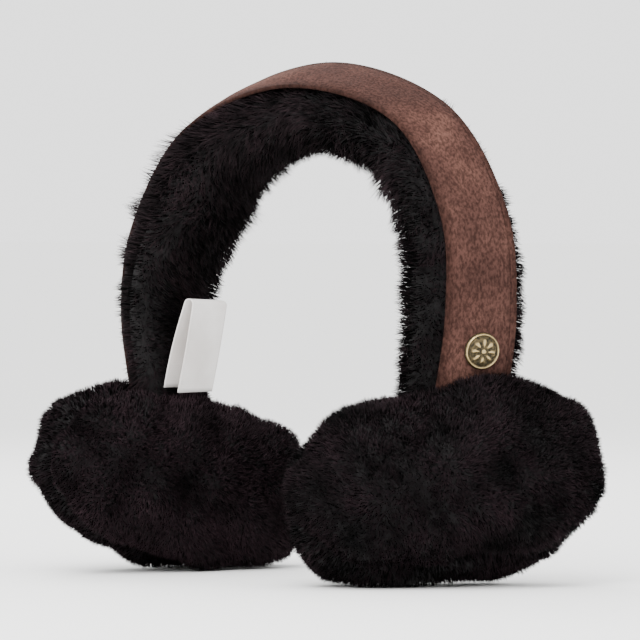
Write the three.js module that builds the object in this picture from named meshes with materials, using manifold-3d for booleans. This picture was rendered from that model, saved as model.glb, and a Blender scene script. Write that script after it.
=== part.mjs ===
// Sheepskin earmuffs: an arched band with a suede outer face and a deep fur lining,
// two fat fur ear pads, a metal stud on the right leg and a folded care label on the left.
// Millimetres, +Z up, X from ear to ear, -Y to the front. The pads stand on z = 0.
import * as THREE from 'three';
import { mergeVertices } from 'three/addons/utils/BufferGeometryUtils.js';
import Module from 'manifold-3d';

const wasm = await Module();
wasm.setup();

// Driving dimensions
const gap = 0.35;               // clearance between neighbouring pieces
const bandY = -9;               // middle plane of the band
const suedeWidth = 30.5;        // width of the suede strip
const suedeThickness = 1.6;
const suedeCrown = 1.1;         // how far the suede's middle stands above its edges
const bandSteps = 56;           // sections along the band
const suedeEdge = 0.5;          // how far the turned edge rounds in from the strip's side
const furNeck = 0.6;            // how far the fur's top stays in from the suede's edge
const pocketClearance = 0.5;    // room round each band end inside its pad
const frameStep = 0.01;         // place either side of a section that its direction is read from

// The band's outer face, left end to right end. x and z place the middle of the face, twist
// turns the width about the band's run, back edge outwards. furFront and furBack are how far
// the pile flares past the suede's edges, and furDepth is how deep it is below the suede.
const bandRows = [
  { x: -83, z: 63, twist: 9, furFront: 8, furBack: 5, furDepth: 18 },
  { x: -88, z: 106, twist: 2, furFront: 8, furBack: 8, furDepth: 22 },
  { x: -81, z: 144, twist: 4, furFront: 8, furBack: 10, furDepth: 31 },
  { x: -55, z: 184, twist: 18, furFront: 7, furBack: 10, furDepth: 34 },
  { x: -1, z: 201, twist: 19, furFront: 5, furBack: 6, furDepth: 29 },
  { x: 56, z: 186, twist: 14, furFront: 6, furBack: 5, furDepth: 28 },
  { x: 84, z: 147, twist: 20, furFront: 9, furBack: 6, furDepth: 29 },
  { x: 88, z: 106, twist: 27, furFront: 12, furBack: 7, furDepth: 27 },
  { x: 81, z: 64, twist: 30, furFront: 10, furBack: 6, furDepth: 23 },
];

// Ear pads. height, length and the two depths are half sizes: outerDepth is the cover's side,
// innerDepth the ear's side. yaw turns the cover to the front, tilt turns it upwards, roll
// lifts the back end.
const padForms = [
  { side: 'right', sign: 1, x: 72, y: -13, z: 39.6, yaw: 42, tilt: 11, roll: 12, height: 40.5 },
  { side: 'left', sign: -1, x: 73, y: -6, z: 36, yaw: -18, tilt: 6, roll: -15, height: 36.5 },
];
const padHalf = { length: 65, outerDepth: 34, innerDepth: 32 };
const padRoundness = 0.82;      // 1 is an ellipse, less is squarer
const padCrownRoundness = 0.88; // the same for the section from seam to crown
const padCrownReach = 0.97;     // share of the quarter turn that the rings cover
const padAround = 40;
const padRings = 9;

// Stud and label
const stud = { diameter: 14.6, height: 2.2, rim: 0.8, along: 7.34, across: 0.8, segments: 32 };
// The stud's section from its foot to its crown. in is the distance in from the edge, up is the
// height above the rim.
const studRim = [
  { in: 0.3, up: -0.8 }, { in: 0, up: -0.45 }, { in: 0, up: 0 }, { in: 0.35, up: 0.35 }, { in: 0.9, up: 0.1 },
];
const studDome = [{ reach: 0.7, below: 0.5 }, { reach: 0.35, below: 0.12 }, { reach: 0, below: 0 }];
const label = {
  width: 21, length: 38, thickness: 1, fold: 2.2, spread: 1.6, x: -57.5, y: -16.5, z: 77, lean: 15,
};

const radians = THREE.MathUtils.degToRad;

// Catmull-Rom value of one column at a place along the rows.
function columnAt(rows, column, place) {
  const last = rows.length - 1;
  const start = Math.min(Math.floor(place), last - 1);
  const f = place - start;
  const value = (index) => {
    if (index < 0) return 2 * rows[0][column] - rows[1][column];
    if (index > last) return 2 * rows[last][column] - rows[last - 1][column];
    return rows[index][column];
  };
  const [a, b, c, d] = [-1, 0, 1, 2].map((offset) => value(start + offset));
  const slopeB = (c - a) / 2;
  const slopeC = (d - b) / 2;
  const curve = (2 * b - 2 * c + slopeB + slopeC) * f ** 3;
  return curve + (3 * c - 3 * b - 2 * slopeB - slopeC) * f ** 2 + slopeB * f + b;
}

// Frame of the band at a place: centre of the outer face, unit run, width and outward normal.
function bandFrame(place) {
  const at = (p) => new THREE.Vector3(columnAt(bandRows, 'x', p), bandY, columnAt(bandRows, 'z', p));
  const last = bandRows.length - 1;
  const ahead = at(Math.min(place + frameStep, last));
  const run = ahead.sub(at(Math.max(place - frameStep, 0))).normalize();
  const side = new THREE.Vector3(0, 1, 0);
  const upright = new THREE.Vector3().crossVectors(run, side);
  const turn = radians(columnAt(bandRows, 'twist', place));
  const width = side.multiplyScalar(Math.cos(turn)).addScaledVector(upright, Math.sin(turn));
  const outward = new THREE.Vector3().crossVectors(run, width).normalize();
  return { centre: at(place), run, width, outward };
}

// Point of a band section: across is along the width, out is along the outward normal.
function bandPoint(frame, across, out) {
  return frame.centre.clone().addScaledVector(frame.width, across).addScaledVector(frame.outward, out);
}

// Closed geometry through rings with equal counts of points, closed by a fan at each end.
function loft(rings) {
  const count = rings[0].length;
  const positions = rings.flat().flatMap((p) => [p.x, p.y, p.z]);
  const indices = [];
  for (let r = 0; r < rings.length - 1; r += 1) {
    for (let i = 0; i < count; i += 1) {
      const next = (i + 1) % count;
      const [a, b] = [r * count + i, r * count + next];
      const [c, d] = [a + count, b + count];
      indices.push(a, b, d, a, d, c);
    }
  }
  [rings[0], rings[rings.length - 1]].forEach((ring, end) => {
    const middle = ring.reduce((sum, p) => sum.add(p), new THREE.Vector3()).divideScalar(count);
    const hub = positions.length / 3;
    positions.push(middle.x, middle.y, middle.z);
    const base = end === 0 ? 0 : (rings.length - 1) * count;
    for (let i = 0; i < count; i += 1) {
      const [a, b] = [base + i, base + (i + 1) % count];
      if (end === 0) indices.push(hub, b, a);
      else indices.push(hub, a, b);
    }
  });
  const geometry = new THREE.BufferGeometry();
  geometry.setAttribute('position', new THREE.Float32BufferAttribute(positions, 3));
  geometry.setIndex(indices);
  return outwardFaces(geometry);
}

// Turns every triangle over when the enclosed volume comes out negative.
function outwardFaces(geometry) {
  const p = geometry.attributes.position;
  const index = geometry.index.array;
  const [a, b, c] = [new THREE.Vector3(), new THREE.Vector3(), new THREE.Vector3()];
  let volume = 0;
  for (let i = 0; i < index.length; i += 3) {
    a.fromBufferAttribute(p, index[i]);
    b.fromBufferAttribute(p, index[i + 1]);
    c.fromBufferAttribute(p, index[i + 2]);
    volume += a.dot(b.cross(c));
  }
  if (volume < 0) {
    for (let i = 0; i < index.length; i += 3) [index[i + 1], index[i + 2]] = [index[i + 2], index[i + 1]];
  }
  return geometry;
}

function places(first, last, steps) {
  return Array.from({ length: steps + 1 }, (_, i) => first + ((last - first) * i) / steps);
}

// Suede strip: a gently crowned outer face, round turned edges and a flat inner face.
function suedeRing(frame, grow) {
  const half = suedeWidth / 2 + grow;
  const outer = [-1, -0.72, -0.36, 0, 0.36, 0.72, 1];
  const top = outer.map((t) => bandPoint(frame, t * (half - suedeEdge), suedeCrown * (1 - t * t) + grow));
  const inner = [1, 0.5, 0, -0.5, -1];
  const bottom = inner.map((t) => bandPoint(frame, t * (half - suedeEdge), -suedeThickness - grow));
  const edge = (sign) => bandPoint(frame, sign * half, -suedeThickness / 2);
  return [...top, edge(1), ...bottom, edge(-1)];
}

// Fur lining: narrow under the suede, widest at mid depth, rounded on the head's side.
function furRing(frame, place, grow) {
  const front = suedeWidth / 2 + columnAt(bandRows, 'furFront', place) + grow;
  const back = suedeWidth / 2 + columnAt(bandRows, 'furBack', place) + grow;
  const depth = columnAt(bandRows, 'furDepth', place) + 2 * grow;
  const top = -suedeThickness - gap + grow;
  const neck = suedeWidth / 2 - furNeck + grow;
  const profile = [
    { across: -neck / front, down: 0 }, { across: -0.9, down: 0.14 }, { across: -1, down: 0.36 },
    { across: -0.97, down: 0.6 }, { across: -0.8, down: 0.82 }, { across: -0.48, down: 0.95 },
    { across: 0, down: 1 }, { across: 0.48, down: 0.95 }, { across: 0.8, down: 0.82 },
    { across: 0.97, down: 0.6 }, { across: 1, down: 0.36 }, { across: 0.9, down: 0.14 },
    { across: neck / back, down: 0 }, { across: 0, down: 0 },
  ];
  return profile.map(({ across, down }) => {
    const reach = across < 0 ? front : back;
    return bandPoint(frame, across * reach, top - down * depth);
  });
}

function bandSuede(grow = 0) {
  const last = bandRows.length - 1;
  return loft(places(0, last, bandSteps).map((place) => suedeRing(bandFrame(place), grow)));
}

function bandFur(grow = 0) {
  const last = bandRows.length - 1;
  return loft(places(0, last, bandSteps).map((place) => furRing(bandFrame(place), place, grow)));
}

// Signed power, which squares an ellipse off when the exponent is under 1.
function squared(value, exponent) {
  return Math.sign(value) * Math.abs(value) ** exponent;
}

// A pad's own axes in the world: outward through the cover, along its length, and its height.
function padMatrix(form) {
  const roll = new THREE.Matrix4().makeRotationX(radians(form.roll));
  const tilt = new THREE.Matrix4().makeRotationY(radians(-form.tilt));
  const yaw = new THREE.Matrix4().makeRotationZ(radians(-form.yaw));
  return new THREE.Matrix4().makeTranslation(form.x * form.sign, form.y, form.z)
    .multiply(new THREE.Matrix4().makeScale(form.sign, 1, 1)).multiply(yaw).multiply(tilt).multiply(roll);
}

// One half of a pad, from the seam plane to its crown, pressed flat where it meets z = 0.
function padHalfSolid(form, depth, direction) {
  const matrix = padMatrix(form);
  const rings = places(0, 1, padRings).map((t) => {
    const rise = (t * padCrownReach * Math.PI) / 2;
    const reach = squared(Math.cos(rise), padRoundness);
    const out = direction * (gap / 2 + depth * squared(Math.sin(rise), padCrownRoundness));
    return places(0, 1, padAround).slice(0, -1).map((turn) => {
      const angle = turn * 2 * Math.PI;
      const along = padHalf.length * reach * squared(Math.cos(angle), padRoundness);
      const high = form.height * reach * squared(Math.sin(angle), padRoundness);
      const point = new THREE.Vector3(out, along, high).applyMatrix4(matrix);
      point.z = Math.max(point.z, 0);
      return point;
    });
  });
  return loft(rings);
}

function toManifold(geometry) {
  const bare = geometry.clone();
  bare.deleteAttribute('normal');
  bare.deleteAttribute('uv');
  const merged = mergeVertices(bare, 1e-4);
  const vertProperties = new Float32Array(merged.attributes.position.array);
  const triVerts = new Uint32Array(merged.index.array);
  return new wasm.Manifold(new wasm.Mesh({ numProp: 3, vertProperties, triVerts }));
}

function fromManifold(solid) {
  const mesh = solid.getMesh();
  const geometry = new THREE.BufferGeometry();
  geometry.setAttribute('position', new THREE.BufferAttribute(new Float32Array(mesh.vertProperties), 3));
  geometry.setIndex(Array.from(mesh.triVerts));
  return geometry;
}

// The pocket that takes one end of the band: the band's own form with a clearance.
const bandEnvelope = toManifold(bandSuede(pocketClearance)).add(toManifold(bandFur(pocketClearance)));

function padPiece(form, depth, direction) {
  const solid = toManifold(padHalfSolid(form, depth, direction)).subtract(bandEnvelope);
  return fromManifold(solid);
}

// Domed disc with a thin raised rim, turned about its own axis and laid on the suede.
function studGeometry() {
  const radius = stud.diameter / 2;
  const rim = studRim.map((p) => new THREE.Vector2(radius - p.in, stud.rim + p.up));
  const dome = studDome.map((p) => new THREE.Vector2(radius * p.reach, stud.height - p.below));
  const geometry = new THREE.LatheGeometry([new THREE.Vector2(0, 0), ...rim, ...dome], stud.segments);
  const frame = bandFrame(stud.along);
  const across = stud.across;
  const lift = suedeCrown + gap;
  const basis = new THREE.Matrix4().makeBasis(frame.run.clone().negate(), frame.outward, frame.width);
  basis.setPosition(bandPoint(frame, across, lift));
  return geometry.applyMatrix4(basis);
}

// Ribbon folded at the top: two layers that spread apart a little towards the bottom.
function labelGeometry() {
  const { length, fold, thickness, spread } = label;
  const outline = new THREE.Shape();
  const straight = length - fold;
  outline.moveTo(-fold - spread, 0);
  outline.lineTo(-fold, straight);
  outline.absarc(0, straight, fold, Math.PI, 0, true);
  outline.lineTo(fold + spread, 0);
  outline.lineTo(fold + spread - thickness, 0);
  outline.lineTo(fold - thickness, straight);
  outline.absarc(0, straight, fold - thickness, 0, Math.PI, false);
  outline.lineTo(-fold - spread + thickness, 0);
  outline.closePath();
  const geometry = new THREE.ExtrudeGeometry(outline, {
    depth: label.width, bevelEnabled: false, curveSegments: 8, steps: 1,
  });
  geometry.translate(0, 0, -label.width / 2);
  geometry.rotateX(Math.PI / 2);
  geometry.rotateY(radians(label.lean));
  return geometry.translate(label.x, label.y, label.z);
}

function makeMaterial(colour, roughness, metalness = 0) {
  return new THREE.MeshStandardMaterial({ color: colour, roughness, metalness });
}

const earmuffs = new THREE.Group();

function addPiece(name, geometry, material) {
  const mesh = new THREE.Mesh(geometry, material);
  mesh.name = name;
  earmuffs.add(mesh);
}

addPiece('band_suede', bandSuede(), makeMaterial(0x64483c, 0.95));
addPiece('band_fur', bandFur(), makeMaterial(0x181316, 0.9));
for (const form of padForms) {
  addPiece(`pad_cover_${form.side}`, padPiece(form, padHalf.outerDepth, 1), makeMaterial(0x1a1518, 0.9));
  addPiece(`pad_face_${form.side}`, padPiece(form, padHalf.innerDepth, -1), makeMaterial(0x171316, 0.9));
}
addPiece('stud', studGeometry(), makeMaterial(0x9a8763, 0.45, 1));
addPiece('care_label', labelGeometry(), makeMaterial(0xe2dedb, 0.6));

// The origin is the centre of the whole thing's underside.
const extent = new THREE.Box3().setFromObject(earmuffs);
const middle = extent.getCenter(new THREE.Vector3());
earmuffs.position.set(-middle.x, -middle.y, -extent.min.z);

export default earmuffs;
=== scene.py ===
import math
import bpy
import numpy as np
from mathutils import Matrix, Vector


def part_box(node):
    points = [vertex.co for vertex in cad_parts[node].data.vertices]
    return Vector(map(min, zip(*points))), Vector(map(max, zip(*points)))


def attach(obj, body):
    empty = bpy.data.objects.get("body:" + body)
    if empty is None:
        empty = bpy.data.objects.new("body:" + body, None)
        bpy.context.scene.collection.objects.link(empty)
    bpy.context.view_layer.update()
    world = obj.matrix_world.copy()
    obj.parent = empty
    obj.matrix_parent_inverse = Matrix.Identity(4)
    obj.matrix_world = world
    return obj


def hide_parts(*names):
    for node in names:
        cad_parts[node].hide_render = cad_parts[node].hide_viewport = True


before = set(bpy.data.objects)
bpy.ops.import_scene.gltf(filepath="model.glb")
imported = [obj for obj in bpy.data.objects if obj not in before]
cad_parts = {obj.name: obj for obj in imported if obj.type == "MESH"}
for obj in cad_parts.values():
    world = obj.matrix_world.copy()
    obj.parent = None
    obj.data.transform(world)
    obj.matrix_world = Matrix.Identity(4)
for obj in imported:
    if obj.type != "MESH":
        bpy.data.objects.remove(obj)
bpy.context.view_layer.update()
mm = 0.001

# The camera stands to the right of the front, just above the surface, with a long lens.
cameraSetup = {
    "azimuth": 40.0, "elevation": 1.0, "distance": 2.2,
    "pixelsPerMetre": 2500.0, "imageSize": 640, "sensor": 36.0,
    "aimHeight": 0.1025, "aimRight": -0.0012,
}


def placeCamera(setup):
    # Looks back along the view direction at a point over the part's own origin.
    az, el = math.radians(setup["azimuth"]), math.radians(setup["elevation"])
    away = Vector((math.sin(az) * math.cos(el), -math.cos(az) * math.cos(el), math.sin(el)))
    right = Vector((math.cos(az), math.sin(az), 0))
    up = away.cross(right)
    aim = bandShift + Vector((0, 0, setup["aimHeight"])) + right * setup["aimRight"]
    data = bpy.data.cameras.new("camera")
    data.sensor_width = setup["sensor"]
    data.lens = setup["pixelsPerMetre"] * setup["distance"] / setup["imageSize"] * setup["sensor"]
    camera = bpy.data.objects.new("camera", data)
    turn = Matrix((right, up, away)).transposed().to_4x4()
    camera.matrix_world = Matrix.Translation(aim + away * setup["distance"]) @ turn
    bpy.context.scene.collection.objects.link(camera)
    bpy.context.scene.camera = camera


# ---- shared helpers: arrays, meshes and nodes

def unit(v):
    return v / np.maximum(np.linalg.norm(v, axis=-1, keepdims=True), 1e-12)


def waves(points, scale, seed, count=7):
    # Smooth noise in about -1..1: a mean of sine waves of wavelength scale in seeded directions.
    rng = np.random.default_rng(seed)
    k = unit(rng.normal(size=(count, 3))) * (2 * np.pi / scale) * rng.uniform(0.6, 1.5, (count, 1))
    phase = rng.uniform(0, 2 * np.pi, count)
    return np.sin(points @ k.T + phase).sum(-1) / math.sqrt(count * 0.9)


def waveVectors(points, scale, seed):
    return np.stack([waves(points, scale, seed + i) for i in range(3)], -1)


def meshObject(name, points, faces, smooth=True):
    # faces is a list of integer arrays, one per polygon size.
    mesh = bpy.data.meshes.new(name)
    sizes = np.concatenate([np.full(len(f), f.shape[1]) for f in faces])
    loops = np.concatenate([f.ravel() for f in faces]).astype(np.int32)
    starts = np.concatenate([[0], np.cumsum(sizes)[:-1]]).astype(np.int32)
    mesh.vertices.add(len(points))
    mesh.vertices.foreach_set("co", np.ascontiguousarray(points, np.float32).ravel())
    mesh.loops.add(len(loops))
    mesh.loops.foreach_set("vertex_index", loops)
    mesh.polygons.add(len(sizes))
    mesh.polygons.foreach_set("loop_start", starts)
    mesh.polygons.foreach_set("use_smooth", np.full(len(sizes), smooth))
    mesh.update(calc_edges=True)
    mesh.validate()
    piece = bpy.data.objects.new(name, mesh)
    bpy.context.scene.collection.objects.link(piece)
    return piece


def gridFaces(rows, columns, closed=False):
    # Quads of a grid of rows x columns points, joined round the columns when closed.
    r = np.arange(rows - 1)[:, None]
    c = np.arange(columns if closed else columns - 1)[None]
    n = (c + 1) % columns
    quads = [r * columns + c, r * columns + n, (r + 1) * columns + n, (r + 1) * columns + c]
    return np.stack([np.broadcast_to(q, (rows - 1, c.shape[1])) for q in quads], -1).reshape(-1, 4)


def addUv(mesh, name, perLoop):
    layer = mesh.uv_layers.new(name=name)
    layer.data.foreach_set("uv", np.ascontiguousarray(perLoop, np.float32).ravel())


def addTone(mesh, values):
    # values holds three numbers for each vertex, kept as a colour attribute.
    rgba = np.concatenate([values, np.ones((len(values), 1))], 1)
    layer = mesh.color_attributes.new("tone", "FLOAT_COLOR", "POINT")
    layer.data.foreach_set("color", np.ascontiguousarray(rgba, np.float32).ravel())


def linear(hexColour):
    s = np.array([int(hexColour[i:i + 2], 16) / 255 for i in (1, 3, 5)])
    c = np.where(s <= 0.04045, s / 12.92, ((s + 0.055) / 1.055) ** 2.4)
    return (*c.tolist(), 1.0)


def newMaterial(name, **sockets):
    material = bpy.data.materials.new(name)
    material.use_nodes = True
    tree = material.node_tree
    shader = tree.nodes["Principled BSDF"]
    for socket, value in sockets.items():
        shader.inputs[socket.replace("_", " ")].default_value = value
    return material, tree, shader


def addNode(tree, kind, inputs=None, **settings):
    # One node: settings are its own properties, inputs are socket values or links by socket.
    node = tree.nodes.new(kind)
    for key, value in settings.items():
        setattr(node, key, value)
    for key, value in (inputs or {}).items():
        if isinstance(value, bpy.types.NodeSocket):
            tree.links.new(value, node.inputs[key])
        else:
            node.inputs[key].default_value = value
    return node


def setRamp(node, stops):
    # stops are (place, colour) pairs, from the lowest place up.
    ramp = node.color_ramp
    for i, (place, colour) in enumerate(stops):
        element = ramp.elements[i] if i < 2 else ramp.elements.new(place)
        element.position = place
        element.color = colour
    return node


# ---- the band's own form, as the part is built: outer face, twist, pile flare and depth in mm
bandTable = np.array([
    # x, z, twist, furFront, furBack, furDepth
    (-83, 63, 9, 8, 5, 18),
    (-88, 106, 2, 8, 8, 22),
    (-81, 144, 4, 8, 10, 31),
    (-55, 184, 18, 7, 10, 34),
    (-1, 201, 19, 5, 6, 29),
    (56, 186, 14, 6, 5, 28),
    (84, 147, 20, 9, 6, 29),
    (88, 106, 27, 12, 7, 27),
    (81, 64, 30, 10, 6, 23),
], float)
bandY, suedeWidth, suedeThickness, suedeCrown = -9.0, 30.5, 1.6, 1.1


def tableAt(places):
    # Catmull-Rom curve through the table's rows, with the ends carried straight on.
    rows = np.vstack([2 * bandTable[0] - bandTable[1], bandTable, 2 * bandTable[-1] - bandTable[-2]])
    start = np.clip(np.floor(places).astype(int), 0, len(bandTable) - 2)
    f = (places - start)[:, None]
    a, b, c, d = (rows[start + i] for i in range(4))
    slopeB, slopeC = (c - a) / 2, (d - b) / 2
    return (2 * b - 2 * c + slopeB + slopeC) * f ** 3 + (3 * c - 3 * b - 2 * slopeB - slopeC) * f ** 2 \
        + slopeB * f + b


def bandFrames(places):
    # Centre, width direction and outward normal of the outer face, in metres.
    step = 0.01
    last = len(bandTable) - 1
    ahead, behind = tableAt(np.minimum(places + step, last)), tableAt(np.maximum(places - step, 0))
    run = unit(np.stack([ahead[:, 0] - behind[:, 0], 0 * places, ahead[:, 1] - behind[:, 1]], -1))
    row = tableAt(places)
    side = np.broadcast_to([0.0, 1.0, 0.0], run.shape)
    turn = np.radians(row[:, 2:3])
    width = side * np.cos(turn) + np.cross(run, side) * np.sin(turn)
    centre = np.stack([row[:, 0], 0 * places + bandY, row[:, 1]], -1) * mm + np.array(bandShift)
    return centre, run, width, unit(np.cross(run, width)), row


# The part was centred on its own box after it was built; the suede strip shows by how much.
bandShift = Vector((0, 0, 0))
probe, _, probeWidth, _, _ = bandFrames(np.linspace(0, len(bandTable) - 1, 57))
edges = np.concatenate([probe - probeWidth * suedeWidth / 2 * mm, probe + probeWidth * suedeWidth / 2 * mm])
suedeLow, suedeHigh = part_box("band_suede")
bandShift = Vector(((suedeLow.x + suedeHigh.x) / 2, 0, 0)) - Vector(((edges[:, 0].min() + edges[:, 0].max()) / 2, 0, 0))
bandShift.y = (suedeLow.y + suedeHigh.y) / 2 - (edges[:, 1].min() + edges[:, 1].max()) / 2
print("band shift in mm", [round(v * 1000, 2) for v in bandShift])

placeCamera(cameraSetup)


# ---- sheepskin: strands over a base skin
def skinArrays(piece):
    # Points, normals and triangles of a piece's mesh as arrays.
    mesh = piece.data
    mesh.calc_loop_triangles()
    points = np.zeros(len(mesh.vertices) * 3)
    mesh.vertices.foreach_get("co", points)
    normals = np.zeros(len(mesh.vertices) * 3)
    mesh.vertices.foreach_get("normal", normals)
    tris = np.zeros(len(mesh.loop_triangles) * 3, np.int32)
    mesh.loop_triangles.foreach_get("vertices", tris)
    return points.reshape(-1, 3), normals.reshape(-1, 3), tris.reshape(-1, 3)


def sowRoots(points, normals, tris, weights, count, rng):
    # Roots spread over the triangles by area times weight, with smooth normals.
    corners = points[tris]
    area = np.linalg.norm(np.cross(corners[:, 1] - corners[:, 0], corners[:, 2] - corners[:, 0]), axis=1)
    chance = area * weights[tris].mean(1)
    pick = rng.choice(len(tris), count, p=chance / chance.sum())
    u, v = rng.random(count), rng.random(count)
    flip = u + v > 1
    u[flip], v[flip] = 1 - u[flip], 1 - v[flip]
    share = np.stack([1 - u - v, u, v], -1)[..., None]
    return (corners[pick] * share).sum(1), unit((normals[tris[pick]] * share).sum(1))


def clumpTips(roots, cell, seed):
    # Centre of each root's lock: the jittered middle of its cell in a warped cubic grid.
    warped = roots + waveVectors(roots, cell * 4, seed) * cell * 0.5
    index = np.floor(warped / cell)
    jitter = np.stack([np.modf(np.sin(index @ k) * 43758.5453)[0] for k in
                       ((12.99, 78.23, 37.72), (39.35, 11.14, 83.16), (73.16, 52.24, 9.15))], -1)
    middle = (index + 0.5 + 0.35 * jitter) * cell
    return middle - (warped - roots), np.abs(jitter[:, 0])


def growPile(name, skin, look, flow, seed, weights=None, lengthAt=None, limits=None, paintedShadeAt=None):
    # Each strand is a tapering blade of one quad and one tip triangle. It leaves the skin between
    # the normal and the flow, and its tip is drawn towards its lock's own tip.
    rng = np.random.default_rng(seed)
    points, normals, tris = skin
    weights = np.ones(len(points)) if weights is None else weights
    count = look["count"]
    roots, out = sowRoots(points, normals, tris, weights, count, rng)
    lie = flow(roots, out)
    lie = lie - out * (lie * out).sum(-1, keepdims=True)
    long = look["length"] * (1 + look["uneven"] * waves(roots, look["patch"], seed + 5)[:, None] * 0.5)
    long = long * rng.uniform(0.8, 1.12, (count, 1))
    if lengthAt is not None:
        long = long * lengthAt(roots)[:, None]
    wild = rng.normal(size=(count, 3)) * look["wild"]
    first = unit(out + lie * look["lean"] * 0.6 + wild * 0.5)
    second = unit(out * 0.75 + lie * look["lean"] * 1.5 + wild)
    lock, lockTone = clumpTips(roots, look["lock"], seed + 9)
    lockTip = lock + (unit(out + lie * look["lean"] + waveVectors(lock, 0.02, seed + 3) * 0.25)) * long
    middle = roots + first * long * 0.5
    tip = middle + second * long * 0.5
    pull = look["pull"] * rng.uniform(0.5, 1.1, (count, 1))
    tip = tip + (lockTip - tip) * pull
    middle = middle + (lockTip - tip) * pull * 0.25
    if limits is not None:
        tip, middle = limits(tip), limits(middle)
    across = unit(np.cross(tip - roots, out + rng.normal(size=(count, 3)) * 0.6))
    half = across * look["width"] * 0.5
    base = roots - out * look["sink"]
    strand = np.stack([base - half, base + half, middle + half * 0.85, middle - half * 0.85, tip], 1)
    index = np.arange(count)[:, None] * 5
    quads = index + np.array([[0, 1, 2, 3]])
    tips = index + np.array([[3, 2, 4]])
    pile = meshObject(name, strand.reshape(-1, 3), [quads, tips])
    along = np.broadcast_to([0.0, 0.0, 0.55, 0.55, 1.0], (count, 5))
    own = np.repeat(rng.random(count)[:, None], 5, 1)
    # The patches are random tone, less any painted shade given for the roots.
    patchesAndPaintedShade = 0.5 + 0.3 * waves(roots, 0.022, seed + 7) + 0.35 * (lockTone - 0.5)
    if paintedShadeAt is not None:
        patchesAndPaintedShade = patchesAndPaintedShade - paintedShadeAt(roots)
    patch = np.repeat(patchesAndPaintedShade[:, None], 5, 1)
    addTone(pile.data, np.stack([along, own, patch], -1).reshape(-1, 3))
    # Each strand owns one small cell of the sheet that its colours are baked on.
    side = math.ceil(math.sqrt(count))
    cellCorner = np.stack([np.arange(count) % side, np.arange(count) // side], -1)[:, None] / side
    inCell = np.array([(0.15, 0.1), (0.85, 0.1), (0.85, 0.55), (0.15, 0.55), (0.5, 0.95)]) / side
    uv = cellCorner + inCell
    addUv(pile.data, "OFBake", np.concatenate([uv[:, [0, 1, 2, 3]].reshape(-1, 2), uv[:, [3, 2, 4]].reshape(-1, 2)]))
    soft = unit(out[:, None] * look["soft"] + unit(strand - roots[:, None] + out[:, None] * 1e-5) * 0.25
                + rng.normal(size=(count, 1, 3)) * 0.22)
    pile.data.normals_split_custom_set_from_vertices(soft.reshape(-1, 3).tolist())
    print(name, count, "strands")
    return pile


def sheepskinMaterial(name, root, tip, bright):
    # Sheepskin, dyed and sheared: near-black at the root, a warm brown glint towards the tips.
    material, tree, shader = newMaterial(name, Roughness=0.8)
    shader.inputs["Specular IOR Level"].default_value = 0.09
    tone = addNode(tree, "ShaderNodeAttribute", attribute_name="tone")
    part = addNode(tree, "ShaderNodeSeparateColor", {"Color": tone.outputs["Color"]})
    along = setRamp(addNode(tree, "ShaderNodeValToRGB", {"Fac": part.outputs["Red"]}),
                    [(0.0, linear(root)), (0.55, linear(tip)), (1.0, linear(bright))])
    shade = addNode(tree, "ShaderNodeMath", {0: part.outputs["Green"], 1: 0.7, 2: 0.65}, operation="MULTIPLY_ADD")
    # Blue holds the random patches with the painted shade taken off them.
    patch = addNode(tree, "ShaderNodeMath", {0: part.outputs["Blue"], 1: 1.35, 2: 0.3}, operation="MULTIPLY_ADD")
    both = addNode(tree, "ShaderNodeMath", {0: shade.outputs[0], 1: patch.outputs[0]}, operation="MULTIPLY")
    mixed = addNode(tree, "ShaderNodeVectorMath", {0: along.outputs["Color"], "Scale": both.outputs[0]},
                    operation="SCALE")
    tree.links.new(mixed.outputs["Vector"], shader.inputs["Base Color"])
    return material


def skinMaterial(name, colour):
    # The hide under the pile: dark, matt, lightly mottled, seen only between the locks.
    material, tree, shader = newMaterial(name, Roughness=0.95)
    place = addNode(tree, "ShaderNodeTexCoord")
    noise = addNode(tree, "ShaderNodeTexNoise", {"Vector": place.outputs["Object"], "Scale": 180.0, "Detail": 4.0})
    ramp = setRamp(addNode(tree, "ShaderNodeValToRGB", {"Fac": noise.outputs["Fac"]}),
                   [(0.3, linear("#060405")), (0.75, linear(colour))])
    tree.links.new(ramp.outputs["Color"], shader.inputs["Base Color"])
    bump = addNode(tree, "ShaderNodeBump", {"Height": noise.outputs["Fac"], "Strength": 0.6, "Distance": 0.001})
    tree.links.new(bump.outputs["Normal"], shader.inputs["Normal"])
    return material


padPileMaterial = sheepskinMaterial("sheepskin sheared", "#060405", "#140d10", "#2b1f23")
bandPileMaterial = sheepskinMaterial("sheepskin long pile", "#060405", "#110b0d", "#271c1f")
hideMaterial = skinMaterial("sheepskin hide", "#0c0809")

# ---- ear pads
padLook = {"count": 62000, "length": 0.0037, "width": 0.00029, "lean": 0.34, "wild": 0.4, "lock": 0.0019,
           "pull": 0.3, "uneven": 0.3, "patch": 0.016, "sink": 0.001, "soft": 1.0,
           "inset": 0.0027, "lump": 0.0016, "voxel": 0.0034}
# Each pose carries a constant painted shade for its pad's strands, for how the light falls on it: the right pad is
# painted darker and the left pad is painted lighter.
padPoses = {"right": {"sign": 1, "yaw": 42, "tilt": 11, "roll": 12, "padPaintedShade": 0.16, "drop": 0.013},
            "left": {"sign": -1, "yaw": -18, "tilt": 6, "roll": -15, "padPaintedShade": -0.26, "drop": -0.009}}


def padAxes(pose):
    # A pad's outward, lengthwise and upward directions in the part's frame.
    roll = Matrix.Rotation(math.radians(pose["roll"]), 3, "X")
    tilt = Matrix.Rotation(math.radians(-pose["tilt"]), 3, "Y")
    yaw = Matrix.Rotation(math.radians(-pose["yaw"]), 3, "Z")
    mirror = Matrix.Diagonal((pose["sign"], 1, 1))
    return np.array(mirror @ yaw @ tilt @ roll).T


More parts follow.
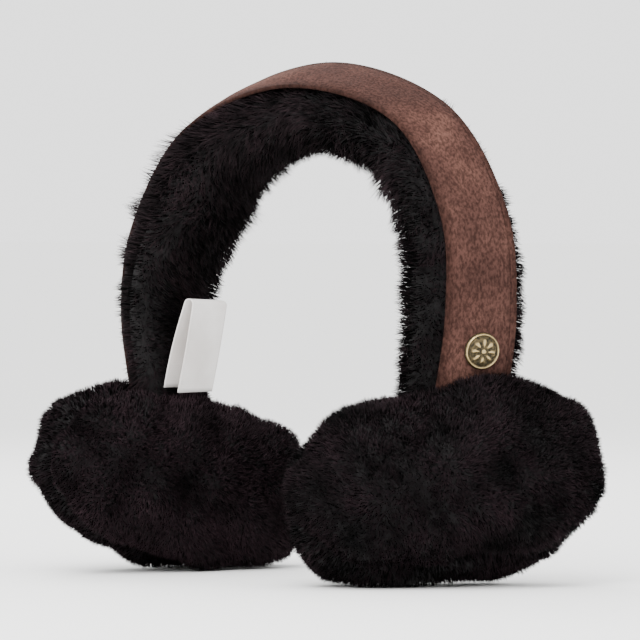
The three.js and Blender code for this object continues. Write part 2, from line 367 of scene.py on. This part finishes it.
def joinedSkin(name, nodes, voxel, inset, lump, seed):
    # One closed skin round the named solids: merged, remeshed, pulled in by the pile's depth
    # along its normals and swelled by gentle lumps.
    meshes = []
    for node in nodes:
        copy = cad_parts[node].copy()
        copy.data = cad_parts[node].data.copy()
        copy.parent = None
        for key in list(copy.keys()):
            del copy[key]
        bpy.context.scene.collection.objects.link(copy)
        meshes.append(copy)
    with bpy.context.temp_override(active_object=meshes[0], object=meshes[0], selected_objects=meshes,
                                   selected_editable_objects=meshes):
        bpy.ops.object.join()
    skin = meshes[0]
    skin.name = name
    skin.data.name = name
    skin.data.materials.clear()
    for layer in list(skin.data.attributes):
        if layer.name not in ("position", ".edge_verts", ".corner_vert", ".corner_edge"):
            try:
                skin.data.attributes.remove(layer)
            except RuntimeError:
                pass
    remesh = skin.modifiers.new("remesh", "REMESH")
    remesh.mode = "VOXEL"
    remesh.voxel_size = voxel
    soften = skin.modifiers.new("soften", "SMOOTH")
    soften.iterations = 6
    soften.factor = 0.6
    depsgraph = bpy.context.evaluated_depsgraph_get()
    solid = bpy.data.meshes.new_from_object(skin.evaluated_get(depsgraph))
    skin.modifiers.clear()
    skin.data = solid
    solid.name = name
    points, normals, _ = skinArrays(skin)
    swell = waves(points, 0.03, seed) + 0.35 * waves(points, 0.011, seed + 1)
    points = points - normals * (inset - lump * swell)[:, None]
    points[:, 2] = np.maximum(points[:, 2], 0.0004)
    solid.vertices.foreach_set("co", points.astype(np.float32).ravel())
    solid.update()
    solid.polygons.foreach_set("use_smooth", np.ones(len(solid.polygons), bool))
    return skin


def keepInside(low, high, spare):
    # Holds points inside a node's box grown by a little, and above the surface it stands on.
    low, high = np.array(low) - spare, np.array(high) + spare
    low[2] = max(low[2], 0.0003)
    return lambda p: np.clip(p, low, high)


def seamPlace(axes, side):
    # Where the seam lies along the outward axis: half way between the two solids.
    def along(node):
        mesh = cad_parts[node].data
        co = np.zeros(len(mesh.vertices) * 3)
        mesh.vertices.foreach_get("co", co)
        return co.reshape(-1, 3) @ axes[0]
    return (along("pad_cover_" + side).min() + along("pad_face_" + side).max()) / 2


def buildPad(side, seed):
    pose = padPoses[side]
    axes = padAxes(pose)
    nodes = ["pad_cover_" + side, "pad_face_" + side]
    skin = joinedSkin("pad_" + side + "_skin", nodes, padLook["voxel"], padLook["inset"], padLook["lump"], seed)
    points, normals, tris = skinArrays(skin)
    seam = seamPlace(axes, side)
    low = np.minimum(*[np.array(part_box(n)[0]) for n in nodes])
    high = np.maximum(*[np.array(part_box(n)[1]) for n in nodes])
    centre = (low + high) / 2

    def seamOffset(p):
        # Distance from the seam, which swings towards the front half near the pad's foot.
        return p @ axes[0] - seam - pose["drop"] * np.clip((0.036 - p[:, 2]) / 0.022, 0, 1)

    # The seam is a valley: the skin is drawn in along it.
    offset = seamOffset(points)
    valley = np.exp(-(offset / 0.004) ** 2)
    points = points - normals * (valley * 0.0075)[:, None]
    points[:, 2] = np.maximum(points[:, 2], 0.0004)
    skin.data.vertices.foreach_set("co", points.astype(np.float32).ravel())
    skin.data.update()
    skin.data.materials.append(hideMaterial)
    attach(skin, "root")
    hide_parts(*nodes)
    limits = keepInside(low, high, 0.004)

    def lengthAt(p):
        # The pile is shorter along the seam.
        return 1 - 0.5 * np.exp(-(seamOffset(p) / 0.004) ** 2)

    def paintedShadeAt(p):
        # Painted shade: the strands are darker in the seam's fold, and the pad's constant painted shade is added on
        # top, which is painted light where it is below zero.
        return 0.6 * np.exp(-(seamOffset(p) / 0.003) ** 2) + pose["padPaintedShade"]

    # The half that faces the front is sown more thickly than the half behind it.
    dense = "cover" if side == "right" else "face"
    for part, sign in (("cover", 1), ("face", -1)):
        look = padLook if part == dense else {**padLook, "count": 46000, "width": 0.00036}
        away = np.clip(sign * offset / 0.002 + 0.5, 0, 1)
        underside = np.clip((points[:, 2] - 0.0015) / 0.004, 0.12, 1)

        def flow(p, n, sign=sign):
            # The pile lies outwards from the middle of the face and down, in slow swirls, and
            # away from the seam.
            rel = p - centre
            outFromMiddle = rel - axes[0] * (rel @ axes[0])[:, None]
            nearSeam = np.exp(-(seamOffset(p) / 0.006) ** 2)[:, None]
            down = np.array([0, 0, -1.0])
            return unit(outFromMiddle) * 0.55 + down * 0.35 + waveVectors(p, 0.05, seed + 31) * 0.4 \
                + axes[0] * sign * nearSeam * 0.8

        pile = growPile("pad_" + side + "_" + part + "_pile", (points, normals, tris), look, flow,
                        seed + 100 * (sign + 2), weights=away * underside, lengthAt=lengthAt,
                        limits=limits, paintedShadeAt=paintedShadeAt)
        pile.data.materials.append(padPileMaterial)
        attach(pile, "root")


buildPad("right", 11)
buildPad("left", 12)
print("pads made")

# ---- fur lining of the band
liningLook = {"count": 64000, "length": 0.0066, "width": 0.00034, "lean": 0.3, "wild": 0.26, "lock": 0.0034,
              "pull": 0.45, "uneven": 0.35, "patch": 0.014, "sink": 0.001, "soft": 0.9,
              "rows": 150, "around": 28, "core": 0.86}


def liningSection(row, angle, core):
    # A rounded D under the suede: across runs from the front flare to the back flare, and down
    # from the suede's underside to the pile's depth times core.
    front = (suedeWidth / 2 + row[:, 3:4]) * mm
    back = (suedeWidth / 2 + row[:, 4:5]) * mm
    depth = row[:, 5:6] * mm
    c, s = np.cos(angle)[None], np.sin(angle)[None]
    across = np.sign(c) * np.abs(c) ** 0.8
    reach = np.where(c < 0, front, back)
    trim = 0.86
    down = (1 - np.sign(s) * np.abs(s) ** 0.8) / 2
    return across * reach * trim * np.where(down < 0.3, 0.9, 1.0), down * depth * core


def buildLining():
    look = liningLook
    places = np.linspace(0.0, len(bandTable) - 1.0, look["rows"])
    centre, run, width, outward, row = bandFrames(places)
    angle = np.linspace(0, 2 * np.pi, look["around"] + 1)[:-1]
    across, down = liningSection(row, angle, look["core"])
    top = (suedeThickness + 0.6) * mm
    points = centre[:, None] + width[:, None] * across[..., None] - outward[:, None] * (top + down)[..., None]
    points = points.reshape(-1, 3)
    caps = []
    for end in (0, look["rows"] - 1):
        ring = np.arange(look["around"]) + end * look["around"]
        points = np.vstack([points, points[ring].mean(0)])
        hub = np.full(look["around"], len(points) - 1)
        caps.append(np.stack([ring, np.roll(ring, -1), hub] if end else [np.roll(ring, -1), ring, hub], -1))
    skin = meshObject("band_lining_skin", points, [gridFaces(look["rows"], look["around"], True), *caps])
    fixNormals(skin)
    skin.data.materials.append(hideMaterial)
    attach(skin, "root")
    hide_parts("band_fur")
    points, normals, tris = skinArrays(skin)
    below = np.clip(((centre[:, None] - points[:len(places) * look["around"]].reshape(len(places), -1, 3))
                     * outward[:, None]).sum(-1) / mm - 0.6, 0, 3) / 3
    weights = np.concatenate([(0.05 + below).ravel(), [0.1, 0.1]])
    middles = centre - outward * (row[:, 5:6] * mm * 0.4)

    onLeft = np.clip((3.9 - places) / 1.2, 0, 1)

    def flow(p, n):
        # Pile fans out of the band, a little downwards, with slow swirls; on the left leg it is
        # brushed outwards past the suede.
        nearest = np.argmin(((p[:, None, ::2] - centre[None, ::5, ::2]) ** 2).sum(-1), 1) * 5
        near = np.clip(1.6 + ((p - centre[nearest]) * outward[nearest]).sum(-1) / (8 * mm), 0, 1)
        brushed = outward[nearest] * (onLeft[nearest] * near * 5.0)[:, None]
        return np.array([0, 0, -0.7]) + waveVectors(p, 0.035, 71) * 0.7 + brushed

    def lengthAt(p):
        # Full length on the sides and the head's side, shorter against the suede but on the left
        # leg's front edge, where a fringe stands out past it.
        nearest = np.argmin(((p[:, None, ::2] - middles[None, ::5, ::2]) ** 2).sum(-1), 1) * 5
        deep = ((centre[nearest] - p) * outward[nearest]).sum(-1) / (row[nearest, 5] * mm)
        scale = row[nearest, 5] / 28
        atFront = np.clip(-((p - centre[nearest]) * width[nearest]).sum(-1) / (12 * mm), 0, 1)
        fringe = onLeft[nearest] * atFront * np.clip(1.3 - deep * 3, 0, 1) * 0.95
        return (np.clip(0.55 + deep * 1.6, 0.6, 1.0) + fringe) * np.clip(scale, 0.55, 1.2)

    low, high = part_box("band_fur")
    boxed = keepInside(low, high, 0.006)

    # The pile stands up past the suede's edges most on the left leg.
    lift = 2.6 + 4.6 * onLeft

    def clearOfSuede(p):
        # Under the suede the pile stays below its inner face; past its edges it may rise a little.
        nearest = np.argmin(((p[:, None, ::2] - centre[None, ::5, ::2]) ** 2).sum(-1), 1) * 5
        offset = p - centre[nearest]
        across = np.abs((offset * width[nearest]).sum(-1)) / mm
        rise = (offset * outward[nearest]).sum(-1) / mm
        ceiling = -suedeThickness - 0.4 + np.clip((across - suedeWidth / 2 - 0.3) / 3, 0, 1) * lift[nearest]
        p = p - outward[nearest] * (np.maximum(rise - ceiling, 0) * mm)[:, None]
        signed = (offset * width[nearest]).sum(-1) / mm
        flare = suedeWidth / 2 + np.where(signed < 0, row[nearest, 3], row[nearest, 4]) + 0.5
        excess = np.maximum(across - flare, 0) * 0.65 * np.sign(signed)
        return boxed(p - width[nearest] * (excess * mm)[:, None])

    pile = growPile("band_lining_pile", (points, normals, tris), look, flow, 51, weights=weights,
                    lengthAt=lengthAt, limits=clearOfSuede)
    pile.data.materials.append(bandPileMaterial)
    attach(pile, "root")


def fixNormals(piece):
    # Turns the whole mesh over when the space it encloses comes out negative.
    points, _, tris = skinArrays(piece)
    a, b, c = (points[tris[:, i]] for i in range(3))
    if (a * np.cross(b, c)).sum() < 0:
        piece.data.flip_normals()


buildLining()
print("lining made")

# ---- suede cover
suedeLook = {"steps": 420, "across": 34, "ripple": 0.00035, "edgeRound": 0.0009}


def suedeMaterial():
    # Suede, brushed: a matt nap in short streaks, paler where it is rubbed, and darker at the edges, where shade is
    # painted on the turned edges and the inner face.
    material, tree, shader = newMaterial("suede brushed", Roughness=0.97)
    shader.inputs["Specular IOR Level"].default_value = 0.06
    uv = addNode(tree, "ShaderNodeUVMap", uv_map="OFBake")
    place = addNode(tree, "ShaderNodeTexCoord")
    # Nap fibres are 0.1 mm, too fine to show, so the streaks are drawn about 0.6 mm across.
    streakSpace = addNode(tree, "ShaderNodeMapping", {"Vector": place.outputs["Object"], "Scale": (900, 900, 520)})
    nap = addNode(tree, "ShaderNodeTexNoise", {"Vector": streakSpace.outputs[0], "Scale": 1.0, "Detail": 5.0,
                                               "Roughness": 0.65})
    rub = addNode(tree, "ShaderNodeTexNoise", {"Vector": place.outputs["Object"], "Scale": 38.0, "Detail": 5.0,
                                               "Roughness": 0.6})
    broad = addNode(tree, "ShaderNodeTexNoise", {"Vector": place.outputs["Object"], "Scale": 11.0, "Detail": 2.0})
    colour = setRamp(addNode(tree, "ShaderNodeValToRGB", {"Fac": rub.outputs["Fac"]}),
                     [(0.3, linear("#35231f")), (0.5, linear("#402b26")), (0.72, linear("#533a33"))])
    wide = setRamp(addNode(tree, "ShaderNodeValToRGB", {"Fac": broad.outputs["Fac"]}),
                   [(0.3, (0.88, 0.88, 0.88, 1)), (0.7, (1.1, 1.09, 1.08, 1))])
    napShade = setRamp(addNode(tree, "ShaderNodeValToRGB", {"Fac": nap.outputs["Fac"]}),
                       [(0.4, (0.6, 0.59, 0.58, 1)), (0.6, (1.42, 1.41, 1.4, 1))])
    one = addNode(tree, "ShaderNodeVectorMath", {0: colour.outputs[0], 1: wide.outputs[0]}, operation="MULTIPLY")
    two = addNode(tree, "ShaderNodeVectorMath", {0: one.outputs[0], 1: napShade.outputs[0]}, operation="MULTIPLY")
    split = addNode(tree, "ShaderNodeSeparateXYZ", {"Vector": uv.outputs[0]})
    # Painted shade: the outer face darkens towards both edges, and the turned edges and the inner face are darker
    # still.
    edge = addNode(tree, "ShaderNodeMath", {0: split.outputs["X"], 1: 0.25}, operation="SUBTRACT")
    edgeSize = addNode(tree, "ShaderNodeMath", {0: edge.outputs[0]}, operation="ABSOLUTE")
    paintedEdgeShade = setRamp(addNode(tree, "ShaderNodeValToRGB", {"Fac": edgeSize.outputs[0]}),
                        [(0.19, (1, 1, 1, 1)), (0.235, (0.7, 0.68, 0.67, 1)), (0.26, (0.5, 0.48, 0.47, 1))])
    # Painted shade: a thin darker line 2.5 mm in from the back edge, where a line of stitching sinks the suede.
    seam = addNode(tree, "ShaderNodeMath", {0: split.outputs["X"], 1: 0.459}, operation="SUBTRACT")
    seamSize = addNode(tree, "ShaderNodeMath", {0: seam.outputs[0]}, operation="ABSOLUTE")
    paintedSeamShade = setRamp(addNode(tree, "ShaderNodeValToRGB", {"Fac": seamSize.outputs[0]}),
                        [(0.001, (0.55, 0.53, 0.52, 1)), (0.007, (1, 1, 1, 1))])
    paintedEdgeAndSeamShade = addNode(tree, "ShaderNodeVectorMath", {0: paintedEdgeShade.outputs[0], 1: paintedSeamShade.outputs[0]},
                    operation="MULTIPLY")
    three = addNode(tree, "ShaderNodeVectorMath", {0: two.outputs[0], 1: paintedEdgeAndSeamShade.outputs[0]}, operation="MULTIPLY")
    tree.links.new(three.outputs[0], shader.inputs["Base Color"])
    bump = addNode(tree, "ShaderNodeBump", {"Height": nap.outputs["Fac"], "Strength": 0.8, "Distance": 0.0005})
    rough = addNode(tree, "ShaderNodeBump", {"Height": rub.outputs["Fac"], "Strength": 0.3, "Distance": 0.0008,
                                             "Normal": bump.outputs["Normal"]})
    tree.links.new(rough.outputs["Normal"], shader.inputs["Normal"])
    return material


def buildSuede():
    look = suedeLook
    places = np.linspace(0, len(bandTable) - 1, look["steps"])
    centre, run, width, outward, row = bandFrames(places)
    # Outer face from front edge to back edge, crowned, then the turned edge and the inner face.
    t = np.linspace(-1, 1, look["across"])
    half = suedeWidth / 2 * mm
    arc = np.linspace(0, np.pi, 7)[1:-1]
    radius = suedeThickness / 2 * mm
    outer = np.stack([t * (half - radius), suedeCrown * mm * (1 - np.abs(t) ** 2.4)], -1)
    backEdge = np.stack([half - radius + radius * np.sin(arc), -radius + radius * np.cos(arc)], -1)
    inner = np.stack([-t[::3] * (half - radius), np.full(len(t[::3]), -suedeThickness * mm)], -1)
    frontEdge = np.stack([-half + radius - radius * np.sin(arc), -radius - radius * np.cos(arc)], -1)
    profile = np.vstack([outer, backEdge, inner, frontEdge])
    points = centre[:, None] + width[:, None] * profile[None, :, :1] + outward[:, None] * profile[None, :, 1:]
    flat = points.reshape(-1, 3)
    onFace = np.tile(np.concatenate([1 - t ** 6, np.zeros(len(profile) - len(t))]), len(places))
    rise = waves(flat, 0.045, 5) * 0.6 + waves(flat, 0.017, 6) * 0.3
    normal = np.repeat(outward, len(profile), 0)
    flat = flat + normal * (rise * onFace * look["ripple"])[:, None]
    caps = []
    for end in (0, len(places) - 1):
        ring = np.arange(len(profile)) + end * len(profile)
        flat = np.vstack([flat, flat[ring].mean(0)])
        hub = np.full(len(profile), len(flat) - 1)
        caps.append(np.stack([ring, np.roll(ring, -1), hub] if end else [np.roll(ring, -1), ring, hub], -1))
    quads = gridFaces(len(places), len(profile), True)
    suede = meshObject("band_suede_cover", flat, [quads, *caps])
    # The sheet position runs once round the section, with the outer face on its first half.
    reach = np.concatenate([(t + 1) / 4, 0.5 + 0.5 * np.arange(len(profile) - len(t)) / (len(profile) - len(t))])
    lengthwise = places / places[-1]
    corner = np.array([[0, 0], [0, 1], [1, 1], [1, 0]])
    cell = np.stack(np.meshgrid(np.arange(len(places) - 1), np.arange(len(profile)), indexing="ij"), -1)
    cell = cell.reshape(-1, 1, 2) + corner
    u = np.append(reach, 1.0)[cell[..., 1]]
    v = lengthwise[cell[..., 0]]
    capUv = np.full((2 * len(profile) * 3, 2), 0.999)
    addUv(suede.data, "OFBake", np.vstack([np.stack([u, v], -1).reshape(-1, 2), capUv]))
    fixNormals(suede)
    suede.data.materials.append(suedeMaterial())
    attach(suede, "root")
    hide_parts("band_suede")


buildSuede()
print("suede made")

# ---- stud
studLook = {"diameter": 14.6, "height": 2.2, "along": 7.34, "across": 0.8, "rings": 60, "around": 180}


def studMaterial():
    # Antiqued brass, struck: dark in the recesses, rubbed bright on what stands up.
    material, tree, shader = newMaterial("antiqued brass struck", Metallic=1.0, Roughness=0.42)
    tone = addNode(tree, "ShaderNodeAttribute", attribute_name="tone")
    part = addNode(tree, "ShaderNodeSeparateColor", {"Color": tone.outputs["Color"]})
    place = addNode(tree, "ShaderNodeTexCoord")
    speck = addNode(tree, "ShaderNodeTexNoise", {"Vector": place.outputs["Object"], "Scale": 900.0, "Detail": 4.0})
    worn = addNode(tree, "ShaderNodeMath", {0: speck.outputs["Fac"], 1: 1.1, 2: -0.58}, operation="MULTIPLY_ADD")
    total = addNode(tree, "ShaderNodeMath", {0: part.outputs["Red"], 1: worn.outputs[0]}, operation="ADD")
    colour = setRamp(addNode(tree, "ShaderNodeValToRGB", {"Fac": total.outputs[0]}),
                     [(0.15, linear("#2c2b24")), (0.5, linear("#5f533c")), (0.9, linear("#ab966b"))])
    tree.links.new(colour.outputs[0], shader.inputs["Base Color"])
    rough = setRamp(addNode(tree, "ShaderNodeValToRGB", {"Fac": total.outputs[0]}),
                    [(0.1, (0.75, 0.75, 0.75, 1)), (0.8, (0.34, 0.34, 0.34, 1))])
    tree.links.new(rough.outputs[0], shader.inputs["Roughness"])
    bump = addNode(tree, "ShaderNodeBump", {"Height": speck.outputs["Fac"], "Strength": 0.35, "Distance": 0.0002})
    tree.links.new(bump.outputs["Normal"], shader.inputs["Normal"])
    return material


def buildStud():
    # A low dome with a raised rim bead; eight plain petals and a centre boss are struck in it.
    look = studLook
    centre, run, width, outward, _ = (v[0] for v in bandFrames(np.array([look["along"]])))
    radius = look["diameter"] / 2
    r = np.linspace(0, 1, look["rings"])[1:, None]
    a = np.linspace(0, 2 * np.pi, look["around"], endpoint=False)[None]
    dome = (look["height"] - 0.75) * (1 - r ** 2) + 0.55
    petal = np.clip(np.cos(4 * a) ** 2 * np.sin(np.pi * np.clip((r - 0.16) / 0.62, 0, 1)) - 0.3, 0, 0.7) / 0.7
    boss = np.clip(1 - (r / 0.14) ** 2, 0, 1) ** 0.5
    bead = np.exp(-((r - 0.91) / 0.05) ** 2)
    ringGroove = np.exp(-((r - 0.8) / 0.03) ** 2)
    relief = petal * 0.42 + boss * 0.4 + bead * 0.5 - ringGroove * 0.18
    height = (dome + relief) * np.clip((1.0 - r) / 0.03, 0.0, 1) ** 0.5
    tone = np.clip(0.34 + petal * 0.8 + boss * 0.8 + bead * 0.8, 0, 1) + 0 * a
    base = np.array(centre) + width * look["across"] * mm + outward * (suedeCrown + 0.3) * mm
    flatPoints = np.stack([r * np.cos(a) * radius, r * np.sin(a) * radius, height + 0 * a], -1).reshape(-1, 3)
    top = np.array([[0, 0, dome[0, 0] + 0.4]])
    under = np.stack([0.9 * radius * np.cos(a[0]), 0.9 * radius * np.sin(a[0]), 0 * a[0] - 0.15], -1)
    local = np.vstack([flatPoints, under, top, [[0, 0, -0.15]]]) * mm
    points = base + local[:, :1] * width + local[:, 1:2] * run + local[:, 2:] * outward
    n = look["around"]
    rows = look["rings"]
    hub, foot = rows * n, rows * n + 1
    first = np.arange(n)
    last = first + (rows - 1) * n
    fans = np.vstack([np.stack([np.roll(first, -1), first, np.full(n, hub)], -1),
                      np.stack([last, np.roll(last, -1), np.full(n, foot)], -1)])
    piece = meshObject("stud_cap", points, [gridFaces(rows, n, True), fans])
    fixNormals(piece)
    tones = np.concatenate([tone.ravel(), np.zeros(n), [0.9, 0.0]])
    addTone(piece.data, np.repeat(tones[:, None], 3, 1))
    piece.data.materials.append(studMaterial())
    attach(piece, "root")
    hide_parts("stud")


buildStud()
print("stud made")

# ---- care label
labelLook = {"width": 21, "length": 38, "fold": 2.2, "spread": 1.6, "lean": 15, "x": -57.5, "y": -16.5, "z": 74,
             "thickness": 0.28, "across": 24}


def labelMaterial():
    # Woven satin ribbon: smooth off-white with a faint sheen and fine cross ribs, nothing on it.
    material, tree, shader = newMaterial("satin ribbon woven", Roughness=0.5, Sheen_Weight=0.15)
    uv = addNode(tree, "ShaderNodeUVMap", uv_map="OFBake")
    # Threads are 0.15 mm apart, too fine to show, so the ribs are drawn 0.45 mm apart.
    ribs = addNode(tree, "ShaderNodeTexWave", {"Vector": uv.outputs[0], "Scale": 28.0, "Distortion": 0.6,
                                               "Detail": 1.0}, bands_direction="Y")
    place = addNode(tree, "ShaderNodeTexCoord")
    cloud = addNode(tree, "ShaderNodeTexNoise", {"Vector": place.outputs["Object"], "Scale": 60.0, "Detail": 3.0})
    colour = setRamp(addNode(tree, "ShaderNodeValToRGB", {"Fac": cloud.outputs["Fac"]}),
                     [(0.3, linear("#d5cfcb")), (0.7, linear("#e9e5e2"))])
    tree.links.new(colour.outputs[0], shader.inputs["Base Color"])
    bump = addNode(tree, "ShaderNodeBump", {"Height": ribs.outputs["Fac"], "Strength": 0.25, "Distance": 0.0001})
    tree.links.new(bump.outputs["Normal"], shader.inputs["Normal"])
    return material


def buildLabel():
    # The ribbon goes up the far layer, over a round fold and down the near layer, with a slight
    # bow in each layer and edges that cup a little.
    look = labelLook
    straight = look["length"] - look["fold"]
    up = np.linspace(0, 1, 22)[:, None]
    bow = np.sin(np.pi * up) * 0.9
    far = np.hstack([-look["fold"] - look["spread"] * (1 - up) - bow, up * straight])
    turn = np.linspace(np.pi, 0, 14)[1:-1, None]
    over = np.hstack([look["fold"] * np.cos(turn), straight + look["fold"] * 0.8 * np.sin(turn)])
    near = np.hstack([look["fold"] + look["spread"] * (1 - up) + bow * 0.35, up * straight])[::-1]
    path = np.vstack([far, over, near])
    s = np.linspace(-1, 1, look["across"])
    cup = 0.35 * (s ** 2)[None] * np.sin(np.pi * np.linspace(0, 1, len(path)))[:, None]
    x = path[:, :1] + cup
    z = path[:, 1:] - 0.5 * s[None] * np.exp(-((np.arange(len(path)) - len(path) / 2) / 9) ** 2)[:, None]
    y = s[None] * look["width"] / 2 + 0 * x
    lean = math.radians(look["lean"])
    world = np.stack([x * math.cos(lean) + z * math.sin(lean) + look["x"], y + look["y"],
                      -x * math.sin(lean) + z * math.cos(lean) + look["z"]], -1) * mm + np.array(bandShift)
    piece = meshObject("care_label_ribbon", world.reshape(-1, 3), [gridFaces(len(path), look["across"])])
    rowUv = np.linspace(0, 1, len(path))
    columnUv = np.linspace(0.02, 0.48, look["across"])
    corner = np.array([[0, 0], [0, 1], [1, 1], [1, 0]])
    cell = np.stack(np.meshgrid(np.arange(len(path) - 1), np.arange(look["across"] - 1), indexing="ij"), -1)
    cell = cell.reshape(-1, 1, 2) + corner
    addUv(piece.data, "OFBake", np.stack([columnUv[cell[..., 1]], rowUv[cell[..., 0]]], -1).reshape(-1, 2))
    wall = piece.modifiers.new("wall", "SOLIDIFY")
    wall.thickness = look["thickness"] * mm
    wall.offset = 0
    piece.data.materials.append(labelMaterial())
    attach(piece, "root")
    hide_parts("care_label")


buildLabel()
print("label made")

# ---- floor and light
stageLook = {"size": 30.0, "floor": "#fcfcfb"}


def buildStage():
    s = stageLook["size"]
    points = np.array([(-s, -s, 0), (s, -s, 0), (s, s, 0), (-s, s, 0)], float)
    floor = meshObject("floor", points, [np.array([[0, 1, 2, 3]])], smooth=False)
    material, _, shader = newMaterial("floor matt paint", Roughness=0.9)
    shader.inputs["Base Color"].default_value = linear(stageLook["floor"])
    floor.data.materials.append(material)
    world = bpy.data.worlds.new("studio")
    bpy.context.scene.world = world
    world.use_nodes = True
    sky = world.node_tree.nodes["Background"]
    sky.inputs["Color"].default_value = (1.0, 1.0, 1.0, 1.0)
    sky.inputs["Strength"].default_value = 2.2


lights = [
    # name, azimuth, elevation, distance, size, watts
    ("key", 18, 46, 1.1, 0.9, 15),
    ("fill", 95, 25, 1.3, 1.0, 3),
    ("rim", -120, 40, 1.2, 0.7, 9),
]


def buildLights():
    aim = Vector((0, 0, 0.09))
    for name, azimuth, elevation, distance, size, watts in lights:
        az, el = math.radians(azimuth), math.radians(elevation)
        away = Vector((math.sin(az) * math.cos(el), -math.cos(az) * math.cos(el), math.sin(el)))
        data = bpy.data.lights.new(name, "AREA")
        data.shape = "DISK"
        data.size = size
        data.energy = watts
        lamp = bpy.data.objects.new(name, data)
        lamp.location = aim + away * distance
        lamp.rotation_euler = away.to_track_quat("Z", "Y").to_euler()
        bpy.context.scene.collection.objects.link(lamp)


buildStage()
buildLights()
print("stage made")
